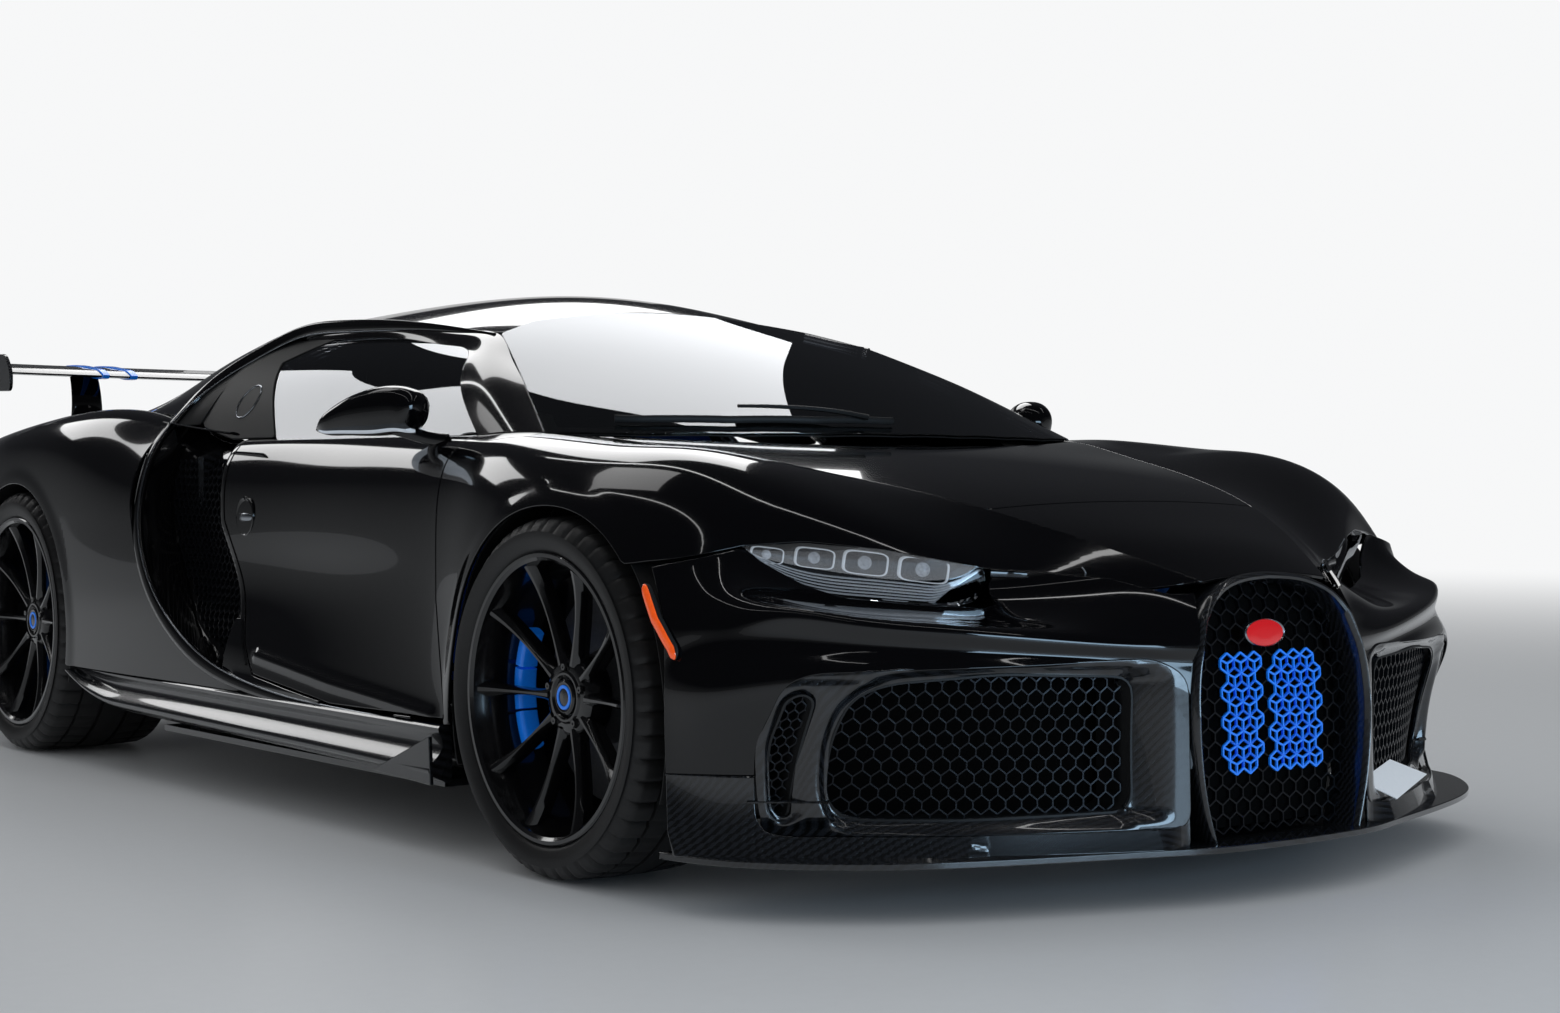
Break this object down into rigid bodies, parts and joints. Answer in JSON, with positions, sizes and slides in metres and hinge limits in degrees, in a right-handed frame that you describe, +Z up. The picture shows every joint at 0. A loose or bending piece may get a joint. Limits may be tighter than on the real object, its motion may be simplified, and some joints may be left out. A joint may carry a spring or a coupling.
{
  "type": "hypercar",
  "caption": "Low two-seat mid-engined hypercar with horseshoe grille, wrap-round side line, fixed rear wing, opening doors and bonnet, steering and rolling wheels.",
  "frame": {"origin": "on the ground at the middle of the car's length and width", "axes": "+Y towards the tail, +Z up, +X to the car's left side"},
  "size_m": [2.0574, 4.544, 1.214],
  "materials": {
    "paint": "gloss black paint",
    "carbon": "lacquered woven carbon fibre",
    "glass": "tinted glass",
    "tyre": "moulded rubber",
    "wheel": "gloss black painted forging",
    "disc": "ground friction face",
    "blue": "bright blue enamel",
    "mesh": "satin black lattice",
    "lamp": "clear lens over four light blocks",
    "tail_lamp": "red lens",
    "trim": "dark polished aluminium",
    "plastic": "moulded black plastic",
    "leather": "blue leather",
    "dash": "dark leather",
    "steel": "machined steel",
    "alloy": "cast alloy",
    "exhaust": "heat-tinted titanium"
  },
  "bodies": {
    "chassis": {"front_fenders": "paint", "front_bumper": "paint", "rear_fenders": "paint", "engine_cover": "paint", "roof": "paint", "windscreen": "glass", "quarter_panels": "paint", "tub": "carbon", "front_frame": "alloy", "rear_frame": "alloy", "grille_ring": "carbon", "grille": "mesh", "intake_mesh": "mesh", "intake_frames": "carbon", "splitter": "carbon", "side_skirts": "carbon", "c_bars": "trim", "side_intakes": "mesh", "tail_panel": "plastic", "tail_lamp": "tail_lamp", "diffuser": "carbon", "rear_wing": "carbon", "wing_rings": "blue", "headlamps": "lamp", "cowl": "plastic", "cabin_frame": "carbon", "seats": "leather", "dashboard": "dash", "steering_wheel": "leather", "engine": "alloy", "undertray": "carbon", "exhaust": "exhaust", "front_wishbones": "steel", "rear_wishbones": "steel", "wheel_liners": "plastic", "rear_uprights": "alloy", "rear_calipers": "blue"},
    "bonnet": {"bonnet": "paint"},
    "door_left": {"door_left": "paint", "door_glass_left": "glass", "mirror_left": "paint"},
    "steer_left": {"knuckle_left": "alloy", "caliper_left": "blue"},
    "door_right": {"door_right": "paint", "door_glass_right": "glass", "mirror_right": "paint"},
    "steer_right": {"knuckle_right": "alloy", "caliper_right": "blue"},
    "wheel_fl": {"tyre_fl": "tyre", "rim_fl": "wheel", "brake_disc_fl": "disc"},
    "wheel_fr": {"tyre_fr": "tyre", "rim_fr": "wheel", "brake_disc_fr": "disc"},
    "wheel_rl": {"tyre_rl": "tyre", "rim_rl": "wheel", "brake_disc_rl": "disc"},
    "wheel_rr": {"tyre_rr": "tyre", "rim_rr": "wheel", "brake_disc_rr": "disc"}
  },
  "joints": [
    {"name": "bonnet_hinge", "type": "hinge", "parent": "chassis", "child": "bonnet", "pos_m": [0, -1.012, 0.796], "axis": [-1, 0, 0], "range_deg": [0, 50]},
    {"name": "door_hinge_left", "type": "hinge", "parent": "chassis", "child": "door_left", "pos_m": [0.93, -0.911, 0.47], "axis": [0.1193, -0.2064, -0.9712], "range_deg": [0, 60]},
    {"name": "steering_left", "type": "hinge", "parent": "chassis", "child": "steer_left", "pos_m": [0.778, -1.312, 0.34], "axis": [0, 0, 1], "range_deg": [-28, 28]},
    {"name": "door_hinge_right", "type": "hinge", "parent": "chassis", "child": "door_right", "pos_m": [-0.93, -0.911, 0.47], "axis": [0.1193, 0.2064, 0.9712], "range_deg": [0, 60]},
    {"name": "steering_right", "type": "hinge", "parent": "chassis", "child": "steer_right", "pos_m": [-0.778, -1.312, 0.34], "axis": [0, 0, 1], "range_deg": [-28, 28]},
    {"name": "wheel_spin_fl", "type": "hinge", "parent": "steer_left", "child": "wheel_fl", "pos_m": [0.8745, -1.312, 0.34], "axis": [1, 0, 0], "continuous": true},
    {"name": "wheel_spin_fr", "type": "hinge", "parent": "steer_right", "child": "wheel_fr", "pos_m": [-0.8745, -1.312, 0.34], "axis": [1, 0, 0], "continuous": true},
    {"name": "wheel_spin_rl", "type": "hinge", "parent": "chassis", "child": "wheel_rl", "pos_m": [0.833, 1.399, 0.3555], "axis": [1, 0, 0], "continuous": true},
    {"name": "wheel_spin_rr", "type": "hinge", "parent": "chassis", "child": "wheel_rr", "pos_m": [-0.833, 1.399, 0.3555], "axis": [1, 0, 0], "continuous": true}
  ],
  "couplings": [
    {"joint": "steering_left", "follows": "steering_right", "ratio": 1}
  ]
}
